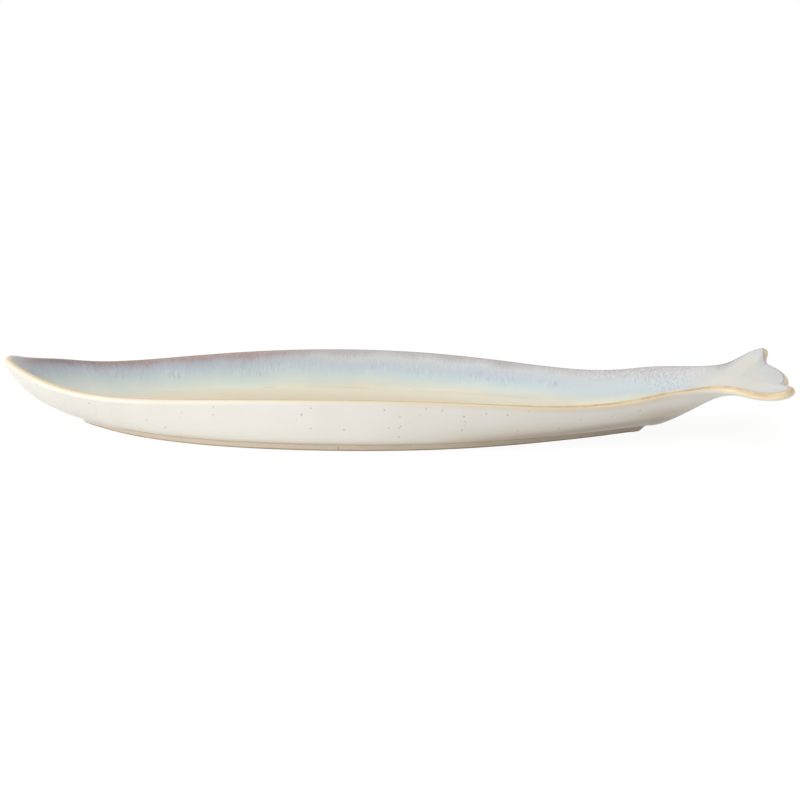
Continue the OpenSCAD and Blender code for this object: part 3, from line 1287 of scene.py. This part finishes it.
@dataclass
class Studio:
    """The camera, the lamps, the floor and the white surround.

    The camera's shift is in pixels of the picture. The floor glows where the camera sees
    it, and a little more far from the platter: far_squares are the squares of the two
    distances that this comes in between.
    """

    target: Triple = (5.7 * MM, 0.0, 19.3 * MM)
    distance: float = 1.6227
    azimuth: float = 2.5
    elevation: float = 11.8
    roll: float = -0.45
    lens: float = 94.5
    sensor: float = 36.0
    picture: float = 800.0
    shift: Span = (-0.5, 2.44)
    nearest: float = 0.01
    room: float = 0.33
    floor_size: float = 8.0
    floor_grey: float = 0.82
    shadow_grey: float = 0.11
    glow: float = 0.93
    far_glow: float = 0.1
    far_squares: Span = (0.25, 1.2)
    lamps: tuple = (
        ("key", (-3.4, -1.6, 0.4), 2.0, 70.0),
        ("left", (-3.0, -2.0, 0.9), 4.0, 30.0),
        ("front", (-0.5, -3.4, 0.9), 3.0, 33.0),
        ("top", (0.0, -0.5, 3.2), 4.0, 55.0),
    )

    def place_camera(self) -> None:
        """Puts the camera at the photograph's angle."""
        turn, lift, roll = (math.radians(a) for a in (self.azimuth, self.elevation, self.roll))
        right = Vector((math.cos(turn), math.sin(turn), 0))
        back = Vector((math.sin(turn) * math.cos(lift), -math.cos(turn) * math.cos(lift), math.sin(lift)))
        up = back.cross(right)
        level = right * math.cos(roll) - up * math.sin(roll)
        upright = right * math.sin(roll) + up * math.cos(roll)
        data = bpy.data.cameras.new("camera")
        data.lens = self.lens
        data.sensor_width = self.sensor
        data.shift_x, data.shift_y = (pixels / self.picture for pixels in self.shift)
        data.clip_start = self.nearest
        camera = bpy.data.objects.new("camera", data)
        bpy.context.scene.collection.objects.link(camera)
        frame_axes = Matrix((level, upright, back)).transposed().to_4x4()
        camera.matrix_world = Matrix.Translation(Vector(self.target) + back * self.distance) @ frame_axes
        bpy.context.scene.camera = camera

    @staticmethod
    def lamp(name: str, place: Triple, size: float, power: float) -> None:
        """Adds a soft square lamp that points at the platter.

        Args:
            name: The lamp's name.
            place: Where it stands.
            size: Its side.
            power: Its power.
        """
        data = bpy.data.lights.new(name, "AREA")
        data.size = size
        data.energy = power
        lamp = bpy.data.objects.new(name, data)
        bpy.context.scene.collection.objects.link(lamp)
        lamp.location = place
        lamp.rotation_euler = (-Vector(place)).to_track_quat("-Z", "Y").to_euler()

    @staticmethod
    def seen(g: Graph, unseen: Value, shown: Value) -> Value:
        """Returns one shader, and another for rays from the camera or by way of gloss or glass.

        Args:
            g: The nodes of a material or world.
            unseen: What lights the platter.
            shown: What the camera sees.

        Returns:
            The mixed shader.
        """
        rays = g.node("ShaderNodeLightPath").outputs
        kinds = ("Is Camera Ray", "Is Glossy Ray", "Is Transmission Ray")
        camera, glossy, glass = (Value(g, rays[kind]) for kind in kinds)
        share = camera.at_least(glossy).at_least(glass)
        return g.get("ShaderNodeMixShader", None, {0: share, 1: unseen, 2: shown})

    def surround(self) -> None:
        """Lights the room evenly and shows it white."""
        world = bpy.data.worlds.new("surround")
        bpy.context.scene.world = world
        g = Graph(world)
        powers = (self.room, 1.0)
        room, white = (g.get("ShaderNodeBackground", None, {0: grey(1), 1: power}) for power in powers)
        g.node("ShaderNodeOutputWorld", None, {0: self.seen(g, room, white)})

    def floor(self) -> None:
        """Lays a plain white floor that keeps the platter's shadow."""
        bpy.ops.object.select_all(action="DESELECT")
        bpy.ops.mesh.primitive_plane_add(size=self.floor_size)
        floor = bpy.context.object
        floor.name = "floor"
        material = bpy.data.materials.new("floor")
        g = Graph(material)
        x, y, _ = g.parts(g.place())
        glow = self.glow + (x * x + y * y).step(*self.far_squares) * self.far_glow
        greys = (self.floor_grey, self.shadow_grey)
        plain, thin = (g.get("ShaderNodeBsdfDiffuse", None, {0: grey(level)}) for level in greys)
        light = g.get("ShaderNodeEmission", None, {0: grey(1), 1: glow})
        shown = g.get("ShaderNodeAddShader", None, {0: thin, 1: light})
        g.node("ShaderNodeOutputMaterial", None, {0: self.seen(g, plain, shown)})
        floor.data.materials.append(material)

    def build(self) -> None:
        """Sets up the whole studio."""
        bpy.context.scene.view_settings.view_transform = "Standard"
        self.place_camera()
        for name, place, size, power in self.lamps:
            self.lamp(name, place, size, power)
        self.surround()
        self.floor()


@dataclass
class Platter:
    """The whole platter."""

    form: PlatterForm = field(default_factory=PlatterForm)
    dish: GlazeCoat = field(default_factory=lambda: GlazeCoat(Face.DISH, 0.6 * MM))
    outside: GlazeCoat = field(default_factory=lambda: GlazeCoat(Face.OUTSIDE, 0.4 * MM, floor_steps=2))
    clay: ClayBody = field(default_factory=ClayBody)
    ring: FootRing = field(default_factory=FootRing)

    def build(self) -> None:
        """Models and dresses each piece in order, from the clay out."""
        stoneware = BareStoneware().material()
        cream = CreamGlaze().material()
        reactive = ReactiveGlaze().material()
        for maker, name, material, node, slot in (
            (self.clay, "clay_wall", stoneware, "clay_body", "bare_stoneware"),
            (self.ring, "foot_ring_bare", stoneware, "foot_ring", "bare_stoneware"),
            (self.dish, "dish_glaze", reactive, "dish_glaze_coat", "dish_glaze"),
            (self.outside, "outside_glaze", cream, "outside_glaze_coat", "outside_glaze"),
            (BaseCoat(self.ring), "base_glaze", cream, "base_glaze_coat", "outside_glaze"),
        ):
            dress(maker.build(name, self.form), material, node)


def main() -> None:
    """Builds the platter and the studio."""
    logging.basicConfig(level=logging.INFO, format="%(name)s: %(message)s")
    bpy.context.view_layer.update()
    Platter().build()
    Studio().build()


if __name__ == "__main__":
    main()
